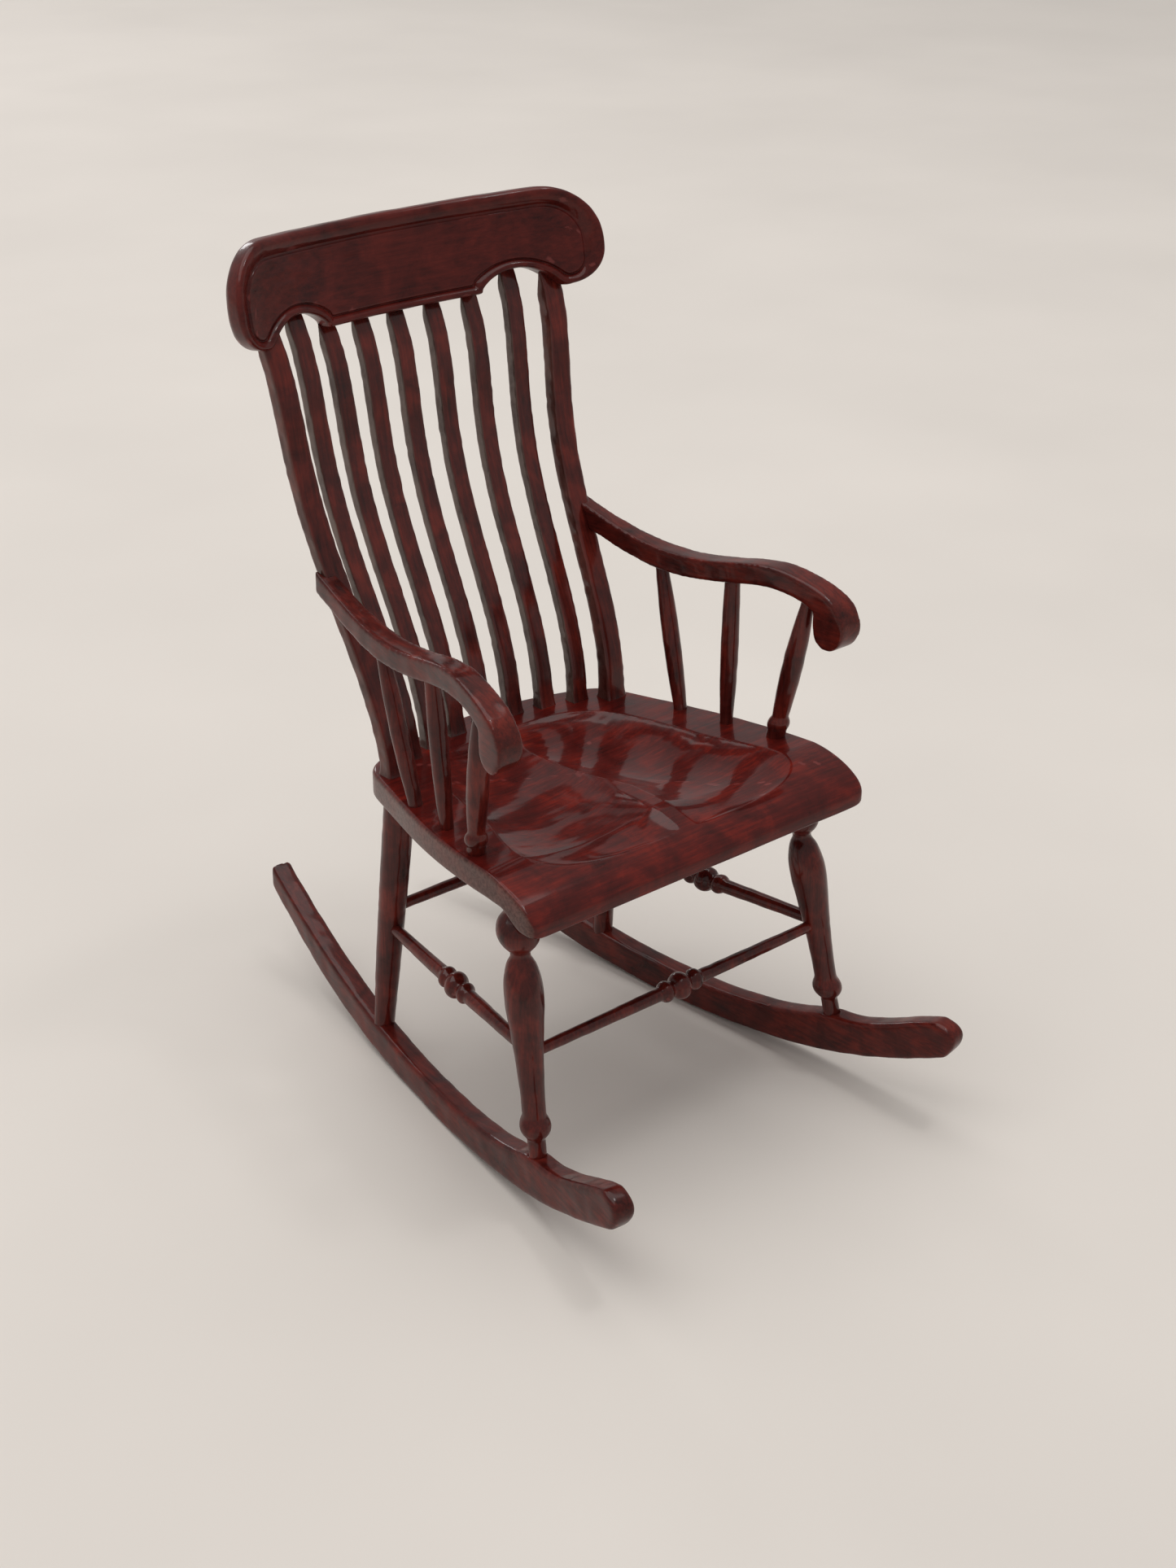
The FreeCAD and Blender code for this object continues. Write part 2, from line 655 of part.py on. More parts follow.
def spindle_body(name):
    """A slim tapered stick; the front one also has a collar at its foot."""
    foot, top = spindle_axis(name)
    long = (top - foot).Length
    top_radius = SPINDLES[name][-1]
    if name == "front":
        step = HOST_REACH + SPINDLE_STEP
        stations = [
            ("line", [(0, FRONT_SPINDLE_BELLY_R), (step, FRONT_SPINDLE_BELLY_R),
                      (step, FRONT_SPINDLE_NECK_R)]),
            ("bead", [(step + SPINDLE_STEP, SPINDLE_COLLAR_R),
                      (step + 2 * SPINDLE_STEP, FRONT_SPINDLE_NECK_R)]),
            ("curve", [(0.35 * long, FRONT_SPINDLE_BELLY_R), (long, top_radius)]),
        ]
    else:
        stations = [
            ("line", [(0, SPINDLE_FOOT_R)]),
            ("curve", [(0.5 * long, SPINDLE_BELLY_R), (long, top_radius)]),
        ]
    return turned(stations, foot, top)


def spindle_pegs(name):
    foot, top = spindle_axis(name)
    up = (top - foot).normalize()
    low = Peg(foot - up * (SPINDLE_PEG - HOST_REACH), up * -1, SPINDLE_PEG_R, SPINDLE_PEG)
    high = Peg(top + up * (SPINDLE_PEG - HOST_REACH), up, SPINDLE_PEG_R, SPINDLE_PEG)
    return low, high


# --- assembly -----------------------------------------------------------------------------
def bored(host, pegs):
    for peg in pegs:
        host = host.cut(peg.hole)
    return host


def pegged(body, pegs):
    return body.multiFuse([peg.solid for peg in pegs])


def chair():
    """All nodes by name, every joint cut."""
    seat = seat_blank()
    crest = crest_blank()
    rocker = rocker_body()
    nodes = {}
    seat_pegs = []
    crest_pegs = []

    uprights = []
    for index, (foot, top) in enumerate(back_places()):
        is_post = index in (0, SLAT_COUNT + 1)
        wide, thick = (POST_WIDE, POST_THICK) if is_post else (SLAT_WIDE, SLAT_THICK)
        body = largest(upright(foot, top, wide, thick).cut(seat).cut(crest))
        pegs = upright_pegs(foot, top)
        seat_pegs.append(pegs[0])
        crest_pegs.append(pegs[1])
        uprights.append(pegged(body, pegs))
    for index in range(1, SLAT_COUNT + 1):
        nodes[f"back_slat_{index}"] = uprights[index]

    post = uprights[-1]
    arm = largest(arm_body().cut(post))
    peg = arm_peg(post)
    arm_pegs = []
    nodes["back_post_right"] = bored(post, [peg])
    for name in SPINDLES:
        pegs = spindle_pegs(name)
        seat_pegs.append(pegs[0])
        arm_pegs.append(pegs[1])
        body = largest(spindle_body(name).cut(seat).cut(arm))
        nodes[f"arm_spindle_{name}_right"] = pegged(body, pegs)
    nodes["arm_right"] = bored(pegged(arm, [peg]), arm_pegs)

    front_axis = front_leg_axis()
    rear_axis = rear_leg_axis()
    front_pegs = leg_pegs(front_axis)
    rear_pegs = leg_pegs(rear_axis)
    seat_pegs += [front_pegs[1], rear_pegs[1]]
    front_leg = largest(front_leg_body().cut(seat).cut(rocker))
    rear_leg = largest(rear_leg_body().cut(seat).cut(rocker))
    nodes["rocker_right"] = bored(rocker, [front_pegs[0], rear_pegs[0]])

    front_end = on_axis(front_axis, FRONT_STRETCHER_Z)
    rear_end = on_axis(rear_axis, REAR_STRETCHER_Z)
    nodes["front_stretcher"], front_rod_pegs = stretcher(
        beaded_rod, left_point(front_end), front_end, FRONT_ROD_R, (mirrored(front_leg), front_leg))
    nodes["rear_stretcher"], rear_rod_pegs = stretcher(
        plain_rod, left_point(rear_end), rear_end, REAR_ROD_R, (mirrored(rear_leg), rear_leg))
    side, side_pegs = stretcher(
        beaded_rod, on_axis(front_axis, SIDE_STRETCHER_FRONT_Z), on_axis(rear_axis, SIDE_STRETCHER_REAR_Z),
        SIDE_ROD_R, (front_leg, rear_leg))
    nodes["side_stretcher_right"] = pegged(side, side_pegs)
    nodes["front_stretcher"] = pegged(nodes["front_stretcher"], front_rod_pegs)
    nodes["rear_stretcher"] = pegged(nodes["rear_stretcher"], rear_rod_pegs)
    nodes["front_leg_right"] = bored(pegged(front_leg, front_pegs), [front_rod_pegs[1], side_pegs[0]])
    nodes["rear_leg_right"] = bored(pegged(rear_leg, rear_pegs), [rear_rod_pegs[1], side_pegs[1]])

    for name in [name for name in nodes if name.endswith("_right")]:
        nodes[name.replace("_right", "_left")] = mirrored(nodes[name])

    carved = seat.cut(hollow(-1)).cut(hollow(1))
    upright_count = SLAT_COUNT + 2
    carved = bored(carved, seat_pegs)
    for peg in seat_pegs[upright_count:]:
        carved = carved.cut(mirrored(peg.hole))
    nodes["seat"] = largest(carved)
    nodes["crest_rail"] = bored(crest, crest_pegs)
    return nodes


def main():
    os.makedirs("parts", exist_ok=True)
    nodes = chair()
    whole = Part.makeCompound(list(nodes.values())).optimalBoundingBox(False)
    shift = Vector(0, -0.5 * (whole.YMin + whole.YMax), -whole.ZMin)
    for name, shape in nodes.items():
        shape = shape.copy()
        shape.translate(shift)
        shape.exportStep(f"parts/{name}.step")
        print(f"{name}: {len(shape.Solids)} solid, {shape.Volume:.2f} mm3, valid {shape.isValid()}")
    print(f"shift {shift.y:.3f} {shift.z:.3f}, height {whole.ZLength:.2f}, "
          f"depth {whole.YLength:.2f}, width {whole.XLength:.2f}")


main()
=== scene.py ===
"""Looks of the miniature rocking chair: carved and turned dark wood under a gloss lacquer.

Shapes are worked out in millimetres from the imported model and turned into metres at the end.
Lengths below are in millimetres unless they say otherwise.
"""
import math

import bpy
import numpy as np
from mathutils import Matrix, Vector


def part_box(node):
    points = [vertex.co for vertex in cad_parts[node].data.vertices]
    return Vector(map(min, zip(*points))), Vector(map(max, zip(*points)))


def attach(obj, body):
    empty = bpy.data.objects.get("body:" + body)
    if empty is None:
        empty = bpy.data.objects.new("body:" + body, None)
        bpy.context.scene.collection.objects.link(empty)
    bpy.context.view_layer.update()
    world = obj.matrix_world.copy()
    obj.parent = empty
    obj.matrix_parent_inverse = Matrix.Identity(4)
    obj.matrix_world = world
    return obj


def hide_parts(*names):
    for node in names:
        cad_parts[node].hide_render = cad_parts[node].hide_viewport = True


MM = 0.001
X, Y, Z = range(3)

# --- camera, light ------------------------------------------------------------------------
CAMERA_AIM = (-1.5, -5.9, 36.0)    # the point in mm at the middle of the picture
CAMERA_AWAY = 241.3                # mm from the aim
CAMERA_AZIMUTH = -39.96            # degrees, as the next two
CAMERA_ELEVATION = 27.52
CAMERA_ROLL = 0.36
FOCAL_SHARE = 2900 / 1927          # focal length over image height
SENSOR = 36.0                      # mm
FLOOR_HALF = 2.5                   # metres from its middle to each side
FLOOR_COLOUR = (0.70, 0.655, 0.612)
FLOOR_MOTTLE = 0.03                # how far the paper's tone strays, as a share
STUDIO_COLOUR = (1.0, 0.985, 0.965)
WORLD_STRENGTH = 0.46
LIGHT_AIM = (0, 0, 0.04)           # metres
LIGHTS = (                         # name, place and side in metres, watts, colour
    ("soft_box", (-0.10, 0.20, 1.0), 1.2, 8.1, STUDIO_COLOUR),
    ("lamp", (0.15, -0.10, 0.62), 0.07, 0.22, (1.0, 1.0, 1.0)),
    ("window", (0.22, 0.75, 0.25), 0.12, 0.25, (1.0, 1.0, 1.0)),
)

# --- wood: each stain is its deep, middle and bright colour --------------------------------
STAIN = ((0.022, 0.003, 0.0025), (0.075, 0.0085, 0.006), (0.16, 0.017, 0.01))
SEAT_STAIN = ((0.030, 0.0030, 0.0024), (0.076, 0.0055, 0.0040), (0.165, 0.011, 0.0055))
CREST_STAIN = ((0.030, 0.0035, 0.003), (0.075, 0.008, 0.006), (0.12, 0.013, 0.009))
# grey-brown of faces that look sideways: partly saw-cut wood, partly a painted sheen for the
# lacquer's grey reflection
SAWN_AND_SHEEN_STAIN = ((0.048, 0.021, 0.016), (0.115, 0.078, 0.065), (0.17, 0.115, 0.095))
GRAIN_ACROSS = 2600.0              # waves of grain in a metre
GRAIN_ALONG = 190.0
GRAIN_LEANING = 420.0              # along the axis that a piece leans to
BLOTCHES = 260.0                   # waves of uneven stain in a metre
BUMP_TALL = 0.00006                # metres

# --- uprights: slats and posts ------------------------------------------------------------
UPRIGHT_PEG_FOOT = 0.6             # how much of the CAD piece's foot and top is left off
UPRIGHT_PEG_TOP = 1.2
UPRIGHT_SKIP_FOOT = 4              # lengths at the ends where pegs and trims upset the section
UPRIGHT_SKIP_TOP = 6
UPRIGHT_SQUARE = 9                 # power of the section: 2 is round, more is squarer
UPRIGHT_WAVE = 0.01                # how unevenly a face is planed
UPRIGHT_SAWN = 0.05                # how coarse the saw marks on the side faces are
FOOT_FLARE = 0.5                   # lacquer gathered at a foot, as a share of the half width
FOOT_FLARE_LONG = 0.7

# --- turned pieces ------------------------------------------------------------------------
LEG_PEG = 2.3                      # length at each end where the CAD's radius isn't read
SPINDLE_PEG = 1.7
SIDE_PEG = 1.6
CROSS_PEG = 1.4
TURNED_STEP = 0.1
TURNED_BLUR = 1.2                  # in steps
TURNED_END_STEP = 0.2              # between the plain rings that run on over the pegs
TURNED_END_NEAR = 0.15             # no plain ring is nearer than this to a measured one
TURNED_WAVE = 0.03

# --- carved pieces: voxel, smoothing passes and how uneven the surface is -----------------
ARM_CARVING = (0.12, 40, 0.04)
ROCKER_CARVING = (0.16, 16, 0.05)

# --- seat ---------------------------------------------------------------------------------
SEAT_ROLL_LONG = 7.5               # from the seat's highest line to its front edge
SEAT_ROLL_DROP = 3.4               # how far the front edge is below that line
SEAT_ROLL_POWER = 1.8              # 1 is a straight slope, 2 an ellipse
SEAT_RISE = 2.1                    # of the highest line above the back edge
SEAT_THICK = 2.9
SEAT_EDGE = 0.45                   # rounding of the upper edge, and the most of the lower
SEAT_FOOT_SHARE = 0.45             # the most of the edge's height that the lower rounding takes
SEAT_LIP_DROP = 0.9                # how far the lip hangs below the front edge of the top
SEAT_LIP_LONG = 5.2                # how far back the lip under the front starts
SEAT_LIP_RUN = 3.4                 # the stretch over which it comes down
SEAT_WAVE = 0.03
SEAT_GRAIN = 0.008
HOLLOW_DEEP = 1.6
HOLLOW_LONG = 15.0                 # half the length of a thigh hollow
HOLLOW_FROM_FRONT = 17.9           # the hollows' middle from the front edge
HOLLOW_OUTER = 14.6                # outer side from the seat's middle line, halfway along
HOLLOW_TAPER = 2.8                 # how far the outer side comes in from there to the back
HOLLOW_FRONT_FLARE = 3.2           # how far it spreads at the front, beyond the taper
HOLLOW_RIDGE = 0.9                 # half width of the ridge between the hollows
HOLLOW_MERGE = 4.5                 # how far the inner sides come in, past the middle line
HOLLOW_MERGE_FROM = -0.35          # where they start to, with -1 the front end and 1 the back

# --- crest rail ---------------------------------------------------------------------------
CREST_ARC = 46.0                   # radius of the front face in plan
CREST_LEAN = 11.0                  # degrees
CREST_THICK = 2.7
CREST_TALL = 9.8                   # from that bottom edge up
CREST_TOP_R = 6.0
CREST_LOBE_R = 3.6
CREST_LOBE_DROP = 0.4              # how far the ends hang below the middle
ARCH_IN = 9.8                      # ends of each arch from the middle
ARCH_OUT = 17.9
ARCH_RISE = 2.0                    # of the arch above the bottom edge between the arches
ARCH_SHIFT = 0.4                   # the arch's highest point from halfway, towards the middle
ARCH_CUSP = 0.35                   # the small step at an arch's inner end
ARCH_WIDEN = 0.4                   # how much an arch grows to each side as the outline is drawn in
CREST_LOW_SHARE = 0.5              # how narrow the border is along the bottom
CREST_BORDER = 2.1
CREST_GROOVE = 0.62                # deepest point of the groove inside the border
CREST_GROOVE_WIDE = 0.55
CREST_PANEL = 0.4                  # depth of the sunk panel
CREST_BEAD_FALL = 0.34             # how far the border falls away towards the groove
CREST_ROUND_FRONT = 0.6
CREST_ROUND_BACK = 1.1
CREST_WAVE = 0.04
CREST_GRAIN = 0.015

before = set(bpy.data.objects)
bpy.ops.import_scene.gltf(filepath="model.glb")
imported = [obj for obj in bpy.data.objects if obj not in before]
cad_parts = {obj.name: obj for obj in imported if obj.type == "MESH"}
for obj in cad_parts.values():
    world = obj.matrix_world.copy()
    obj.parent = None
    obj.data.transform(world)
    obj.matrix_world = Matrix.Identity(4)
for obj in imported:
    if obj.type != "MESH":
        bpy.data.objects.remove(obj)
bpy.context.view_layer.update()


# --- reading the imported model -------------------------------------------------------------
def node_mesh(node):
    """Vertices in millimetres and edges of a CAD node."""
    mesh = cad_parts[node].data
    points = np.empty(3 * len(mesh.vertices))
    mesh.vertices.foreach_get("co", points)
    edges = np.empty(2 * len(mesh.edges), dtype=np.int64)
    mesh.edges.foreach_get("vertices", edges)
    return points.reshape(-1, 3) / MM, edges.reshape(-1, 2)


def box_mm(node):
    """A node's lowest and highest corners in millimetres."""
    low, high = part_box(node)
    return np.array(low) / MM, np.array(high) / MM


def cut_boxes(node, axis, places):
    """Centre and half size of the node's cut at each place along an axis."""
    points, edges = node_mesh(node)
    a = points[edges[:, 0]]
    b = points[edges[:, 1]]
    rows = []
    for place in places:
        crossing = (a[:, axis] - place) * (b[:, axis] - place) < 0
        p = a[crossing]
        q = b[crossing]
        share = (place - p[:, axis]) / (q[:, axis] - p[:, axis])
        found = p + (q - p) * share[:, None]
        low = found.min(0)
        high = found.max(0)
        rows.append(np.concatenate([(low + high) / 2, (high - low) / 2]))
    return np.array(rows)


def smoothed(values, width):
    """Values along a line, blurred by a bell of that many samples."""
    reach = int(3 * width) + 1
    bell = np.exp(-0.5 * (np.arange(-reach, reach + 1) / width) ** 2)
    bell /= bell.sum()
    padded = np.concatenate([np.full(reach, values[0]), values, np.full(reach, values[-1])])
    return np.convolve(padded, bell, mode="valid")


def lattice_noise(points, seed=0):
    """Smooth noise from -1 to 1 at each point, about one wave per unit."""
    base = np.floor(points).astype(np.int64)
    part = points - base
    part = part * part * (3 - 2 * part)
    total = np.zeros(len(points))
    for corner in range(8):
        step = np.array([corner & 1, corner >> 1 & 1, corner >> 2 & 1])
        cell = base + step
        key = (cell * np.array([73856093, 19349663, 83492791])).sum(1) + seed * 2654435
        value = np.sin((key % 100003) * 12.9898) * 43758.5453
        value -= np.floor(value)
        total += np.prod(np.where(step, part, 1 - part), axis=1) * (2 * value - 1)
    return total


def seed_of(node):
    """A noise seed that is a node's own."""
    return sum(ord(letter) for letter in node)


# --- meshes -------------------------------------------------------------------------------
def new_piece(name, points, faces, material, node):
    """A mesh object from points in millimetres that stands for a CAD node and stays in its box."""
    mesh = bpy.data.meshes.new(name)
    inside = np.clip(np.asarray(points), *box_mm(node))
    mesh.from_pydata((inside * MM).tolist(), [], faces)
    mesh.materials.append(material)
    mesh.polygons.foreach_set("use_smooth", [True] * len(mesh.polygons))
    mesh.validate()
    mesh.update()
    piece = bpy.data.objects.new(name, mesh)
    bpy.context.scene.collection.objects.link(piece)
    adopt(piece, node)


def adopt(piece, node):
    """Let a piece stand for a CAD node, on the one body."""
    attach(piece, "root")
    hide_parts(node)


def skin_faces(rings, around, first_cap=True, last_cap=True):
    """Faces that join rings of equal counts, each ring after the last, with end caps."""
    faces = []
    for ring in range(rings - 1):
        start = ring * around
        for index in range(around):
            after = (index + 1) % around
            faces.append((start + index, start + after,
                          start + around + after, start + around + index))
    if first_cap:
        faces.append(tuple(reversed(range(around))))
    if last_cap:
        start = (rings - 1) * around
        faces.append(tuple(range(start, start + around)))
    return faces


def ring_normals(rings):
    """Outward directions of an array of rings (rings, around, 3)."""
    along = np.gradient(rings, axis=0)
    around = np.roll(rings, -1, axis=1) - np.roll(rings, 1, axis=1)
    normal = np.cross(around, along)
    length = np.linalg.norm(normal, axis=2, keepdims=True)
    return normal / np.maximum(length, 1e-9)


def super_ring(around, power):
    """Unit ring: round at power 2, squarer above."""
    turn = np.linspace(0, 2 * math.pi, around, endpoint=False)
    cos = np.cos(turn)
    sin = np.sin(turn)
    reach = (np.abs(cos) ** power + np.abs(sin) ** power) ** (-1 / power)
    return np.stack([cos * reach, sin * reach], axis=1)


# --- materials ----------------------------------------------------------------------------
class Nodes:
    """Short ways to add and join a material's nodes."""

    def __init__(self, name):
        self.material = bpy.data.materials.new(name)
        self.material.use_nodes = True
        self.tree = self.material.node_tree
        self.shader = self.tree.nodes["Principled BSDF"]

    def add(self, kind, **settings):
        node = self.tree.nodes.new(kind)
        for key, value in settings.items():
            setattr(node, key, value)
        return node

    def join(self, source, target):
        self.tree.links.new(source, target)

    def noise(self, vector, scale, detail, rough=0.5, twist=0.0):
        node = self.add("ShaderNodeTexNoise")
        self.join(vector, node.inputs["Vector"])
        node.inputs["Scale"].default_value = scale
        node.inputs["Detail"].default_value = detail
        node.inputs["Roughness"].default_value = rough
        node.inputs["Distortion"].default_value = twist
        return node.outputs["Fac"]

    def ramp(self, value, stops):
        node = self.add("ShaderNodeValToRGB")
        self.join(value, node.inputs["Fac"])
        ramp = node.color_ramp
        while len(ramp.elements) < len(stops):
            ramp.elements.new(0.5)
        for element, (place, colour) in zip(ramp.elements, stops):
            element.position = place
            element.color = (*colour, 1.0)
        return node.outputs["Color"]

    def spread(self, value, low, high, to_low, to_high):
        node = self.add("ShaderNodeMapRange")
        self.join(value, node.inputs["Value"])
        ends = {"From Min": low, "From Max": high, "To Min": to_low, "To Max": to_high}
        for key, number in ends.items():
            node.inputs[key].default_value = number
        return node.outputs["Result"]

    def mix(self, share, first, second):
        node = self.add("ShaderNodeMix", data_type="RGBA")
        for value, socket in ((share, node.inputs["Factor"]), (first, node.inputs["A"]),
                              (second, node.inputs["B"])):
            if isinstance(value, tuple):
                socket.default_value = (*value, 1.0)
            else:
                self.join(value, socket)
        return node.outputs["Result"]

    def maths(self, operation, first, second):
        node = self.add("ShaderNodeMath", operation=operation)
        for value, socket in ((first, node.inputs[0]), (second, node.inputs[1])):
            if isinstance(value, float):
                socket.default_value = value
            else:
                self.join(value, socket)
        return node.outputs["Value"]


def lacquered(name, grain_axis, stain, sawn_and_sheen=0.0, gloss=0.1, bump=0.25, coat=0.6, lean_axis=None):
    """Stained wood under gloss: streaks along the grain, blotchy stain, and lighter edges that are
    partly wear and partly a painted highlight.

    The first share after the stain makes sideways faces grey and rough: saw-cut grain, and in part
    a painted sheen for the grey the lacquer reflects there; along the lean axis the streaks are
    stretched too, so that they follow a piece that leans that way.
    """
    deep, mid, bright = stain
    n = Nodes(name)
    place = n.add("ShaderNodeTexCoord").outputs["Object"]
    stretch = n.add("ShaderNodeMapping")
    n.join(place, stretch.inputs["Vector"])
    scale = [GRAIN_ACROSS] * 3
    scale[grain_axis] = GRAIN_ALONG
    if lean_axis is not None:
        scale[lean_axis] = GRAIN_LEANING
    stretch.inputs["Scale"].default_value = scale
    streak = n.noise(stretch.outputs["Vector"], 1.0, 6.0, 0.65, 0.3)
    blotch = n.noise(place, BLOTCHES, 4.0, 0.6, 0.5)
    pores = n.noise(stretch.outputs["Vector"], 3.2, 3.0, 0.7)
    tone = n.maths("ADD", n.maths("MULTIPLY", streak, 0.45), n.maths("MULTIPLY", blotch, 0.55))
    colour = n.ramp(tone, ((0.34, deep), (0.5, mid), (0.66, bright)))
    geometry = n.add("ShaderNodeNewGeometry")
    # Sharp edges go towards a paler brown: partly edge wear, partly a painted highlight for the
    # lacquer's reflection along edges.
    wear_and_highlight = n.spread(geometry.outputs["Pointiness"], 0.525, 0.61, 0.0, 0.75)
    colour = n.mix(wear_and_highlight, colour, tuple(2.1 * c + 0.02 for c in mid))
    rough = n.spread(blotch, 0.3, 0.7, 0.26, 0.44)
    height = n.maths("ADD", n.maths("MULTIPLY", streak, 0.6), n.maths("MULTIPLY", pores, 0.4))
    # Faces that look either way along X are mixed towards a grey-brown, partly saw-cut grain and
    # partly a painted sheen, and made rougher.
    if sawn_and_sheen:
        split = n.add("ShaderNodeSeparateXYZ")
        n.join(geometry.outputs["Normal"], split.inputs["Vector"])
        across = n.maths("ABSOLUTE", split.outputs["X"], 0.0)
        sideways = n.spread(across, 0.55, 0.85, 0.0, sawn_and_sheen)
        sawn_grey_and_sheen = n.ramp(streak, tuple(zip((0.36, 0.52, 0.68), SAWN_AND_SHEEN_STAIN)))
        colour = n.mix(sideways, colour, sawn_grey_and_sheen)
        rough = n.maths("ADD", rough, n.maths("MULTIPLY", sideways, 0.18))
    n.join(colour, n.shader.inputs["Base Color"])
    n.join(rough, n.shader.inputs["Roughness"])
    lump = n.add("ShaderNodeBump")
    lump.inputs["Strength"].default_value = bump
    lump.inputs["Distance"].default_value = BUMP_TALL
    n.join(height, lump.inputs["Height"])
    n.join(lump.outputs["Normal"], n.shader.inputs["Normal"])
    n.shader.inputs["Specular IOR Level"].default_value = 0.05
    n.shader.inputs["Coat Weight"].default_value = coat
    n.shader.inputs["Coat Roughness"].default_value = gloss
    n.shader.inputs["Coat IOR"].default_value = 1.5
    return n.material


def make_woods():
    """One material for each kind of piece, its grain along the piece."""
    return {
        "seat": lacquered("seat_wood", X, SEAT_STAIN, sawn_and_sheen=0.45, gloss=0.08, bump=0.15, coat=0.5),
        "crest": lacquered("crest_wood", X, CREST_STAIN, bump=0.2, coat=0.4),
        "slat": lacquered("slat_wood", Z, STAIN, sawn_and_sheen=0.9, gloss=0.14, bump=0.4, coat=0.75,
                          lean_axis=Y),
        "post": lacquered("post_wood", Z, STAIN, sawn_and_sheen=0.3, gloss=0.13, lean_axis=Y),
        "turned": lacquered("turned_wood", Z, STAIN, gloss=0.12),
        "arm": lacquered("arm_wood", Y, STAIN, gloss=0.12, coat=0.5),
        "rocker": lacquered("rocker_wood", Y, STAIN, gloss=0.13, coat=0.42),
    }


woods = make_woods()


# --- uprights -----------------------------------------------------------------------------
def build_upright(node, material):
    """A post or slat: smooth planed front, sides rough with saw marks, lacquer gathered at its
    foot.
    """
    low, high = box_mm(node)
    rings = 150
    around = 44
    sampled = np.linspace(low[Z] + UPRIGHT_SKIP_FOOT, high[Z] - UPRIGHT_SKIP_TOP, 24)
    boxes = cut_boxes(node, Z, sampled)
    heights = np.linspace(low[Z] + UPRIGHT_PEG_FOOT, high[Z] - UPRIGHT_PEG_TOP, rings)
    x = np.polyval(np.polyfit(sampled, boxes[:, 0], 2), heights)
    y = np.polyval(np.polyfit(sampled, boxes[:, 1], 5), heights)
    half_x = np.median(boxes[:, 3])
    half_y = np.median(boxes[:, 4])
    flare = 1 + FOOT_FLARE * np.exp(-(heights - heights[0]) / FOOT_FLARE_LONG)
    shape = super_ring(around, UPRIGHT_SQUARE)
    points = np.zeros((rings, around, 3))
    points[:, :, 0] = x[:, None] + shape[None, :, 0] * half_x * flare[:, None]
    points[:, :, 1] = y[:, None] + shape[None, :, 1] * half_y * flare[:, None]
    points[:, :, 2] = heights[:, None]
    normals = ring_normals(points)
    sideways = np.clip((np.abs(normals[:, :, 0]) - 0.35) / 0.5, 0, 1)
    seed = seed_of(node)
    flat = points.reshape(-1, 3)
    coarse = lattice_noise(flat * (1.3, 0.3, 0.3), seed).reshape(rings, around)
    fine = lattice_noise(flat * (3.0, 1.0, 1.5), seed + 1).reshape(rings, around)
    swell = UPRIGHT_WAVE * coarse + UPRIGHT_SAWN * sideways * fine
    points += normals * swell[:, :, None]
    faces = skin_faces(rings, around)
    new_piece(node + "_wood", points.reshape(-1, 3), faces, woods[material], node)


# --- turned pieces ------------------------------------------------------------------------
def build_turned(node, axis, peg):
    """A lathe-turned piece along an axis, its radius read from the CAD piece between its pegs."""
    low, high = box_mm(node)
    around = 40
    places = np.arange(low[axis] + peg, high[axis] - peg, TURNED_STEP)
    boxes = cut_boxes(node, axis, places)
    across = [index for index in range(3) if index != axis]
    centre = boxes[:, :3].copy()
    for index in across:
        centre[:, index] = np.polyval(np.polyfit(places, boxes[:, index], 1), places)
    radius = smoothed(boxes[:, [3 + index for index in across]].mean(1), TURNED_BLUR)
    spare = np.arange(peg, TURNED_END_NEAR, -TURNED_END_STEP)
    first = centre[0] - (centre[1] - centre[0]) * (spare / TURNED_STEP)[:, None]
    last = centre[-1] + (centre[-1] - centre[-2]) * (spare[::-1] / TURNED_STEP)[:, None]
    centre = np.concatenate([first, centre, last])
    radius = np.concatenate([np.full(len(first), radius[0]), radius,
                             np.full(len(last), radius[-1])])
    turn = np.linspace(0, 2 * math.pi, around, endpoint=False)
    points = np.repeat(centre[:, None, :], around, axis=1)
    points[:, :, across[0]] += radius[:, None] * np.cos(turn)
    points[:, :, across[1]] += radius[:, None] * np.sin(turn) * (-1 if axis == Y else 1)
    normals = ring_normals(points)
    seed = seed_of(node)
    wobble = lattice_noise(points.reshape(-1, 3) * 0.9, seed).reshape(points.shape[:2])
    points += normals * (TURNED_WAVE * wobble)[:, :, None]
    faces = skin_faces(len(points), around)
    new_piece(node + "_wood", points.reshape(-1, 3), faces, woods["turned"], node)


# --- carved pieces ------------------------------------------------------------------------
def build_carved(node, material, voxel, passes, wobble):
    """The CAD piece with its edges worn round, as a knife and sandpaper leave them."""
    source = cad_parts[node]
    mesh = source.data.copy()
    piece = bpy.data.objects.new(node + "_wood", mesh)
    bpy.context.scene.collection.objects.link(piece)
    remesh = piece.modifiers.new("remesh", "REMESH")
    remesh.mode = "VOXEL"
    remesh.voxel_size = voxel * MM
    smooth = piece.modifiers.new("smooth", "SMOOTH")
    smooth.iterations = passes
    smooth.factor = 0.5
    finished = bpy.data.meshes.new_from_object(
        piece.evaluated_get(bpy.context.evaluated_depsgraph_get()))
    piece.modifiers.clear()
    piece.data = finished
    count = len(finished.vertices)
    points = np.empty(3 * count)
    finished.vertices.foreach_get("co", points)
    normals = np.empty(3 * count)
    finished.vertices.foreach_get("normal", normals)
    points = points.reshape(-1, 3)
    normals = normals.reshape(-1, 3)
    seed = seed_of(node)
    swell = wobble * lattice_noise(points / MM * 0.6, seed) * MM
    points += normals * swell[:, None]
    low, high = box_mm(node)
    finished.vertices.foreach_set("co", np.clip(points, low * MM, high * MM).ravel())
    finished.materials.clear()
    finished.materials.append(woods[material])
    finished.polygons.foreach_set("use_smooth", [True] * len(finished.polygons))
    finished.update()
    adopt(piece, node)


